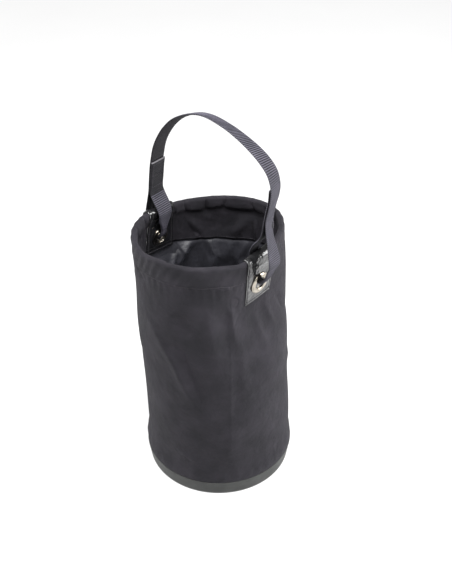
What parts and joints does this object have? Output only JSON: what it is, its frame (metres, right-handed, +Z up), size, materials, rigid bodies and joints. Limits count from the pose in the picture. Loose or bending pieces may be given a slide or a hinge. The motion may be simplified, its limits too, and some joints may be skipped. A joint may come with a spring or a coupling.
{
  "type": "rope storage bag",
  "caption": "Tall open-topped round canvas bag with a moulded base cap, reinforced grommets at the rim and a webbing carry handle, for storing and carrying rope.",
  "frame": {"origin": "middle of the base cap's flat underside, on the surface the bag stands on", "axes": "+Z up out of the open mouth; +X towards the right-hand grommet, the handle spans the mouth along X; +Y completes the right-handed frame"},
  "size_m": [0.2197, 0.2161, 0.5424],
  "materials": {
    "canvas": "matte heavy woven canvas, near black",
    "lining": "thin crumpled coated nylon with a soft sheen",
    "webbing": "ribbed flat webbing, dark grey",
    "coated_patch": "glossy coated fabric, black",
    "cap_polymer": "semi-matte moulded rubber, dark grey",
    "nickel_plated_brass": "polished nickel plating over brass, slightly warm",
    "rim_rod": "matte, hidden in the rim",
    "thread": "matte bonded thread, near black"
  },
  "bodies": {
    "bag": {"base_cap": "cap_polymer", "canvas_body": "canvas", "canvas_floor": "canvas", "facing_stitching_back": "thread", "facing_stitching_front": "thread", "grommet_left": "nickel_plated_brass", "grommet_right": "nickel_plated_brass", "hem_stitching_back": "thread", "hem_stitching_front": "thread", "inner_lining": "lining", "patch_left": "coated_patch", "patch_right": "coated_patch", "patch_stitching_left": "thread", "patch_stitching_right": "thread", "rim_rod": "rim_rod", "side_seam_stitching": "thread", "washer_left": "nickel_plated_brass", "washer_right": "nickel_plated_brass"},
    "handle": {"handle_webbing": "webbing", "lap_stitching_left": "thread", "lap_stitching_right": "thread"}
  },
  "joints": [
    {"name": "handle_swing", "type": "hinge", "parent": "bag", "child": "handle", "pos_m": [-0.10512, -0.00432, 0.32977], "axis": [0.9995, -0.0209, 0.0239], "range_deg": [-15, 12]}
  ]
}
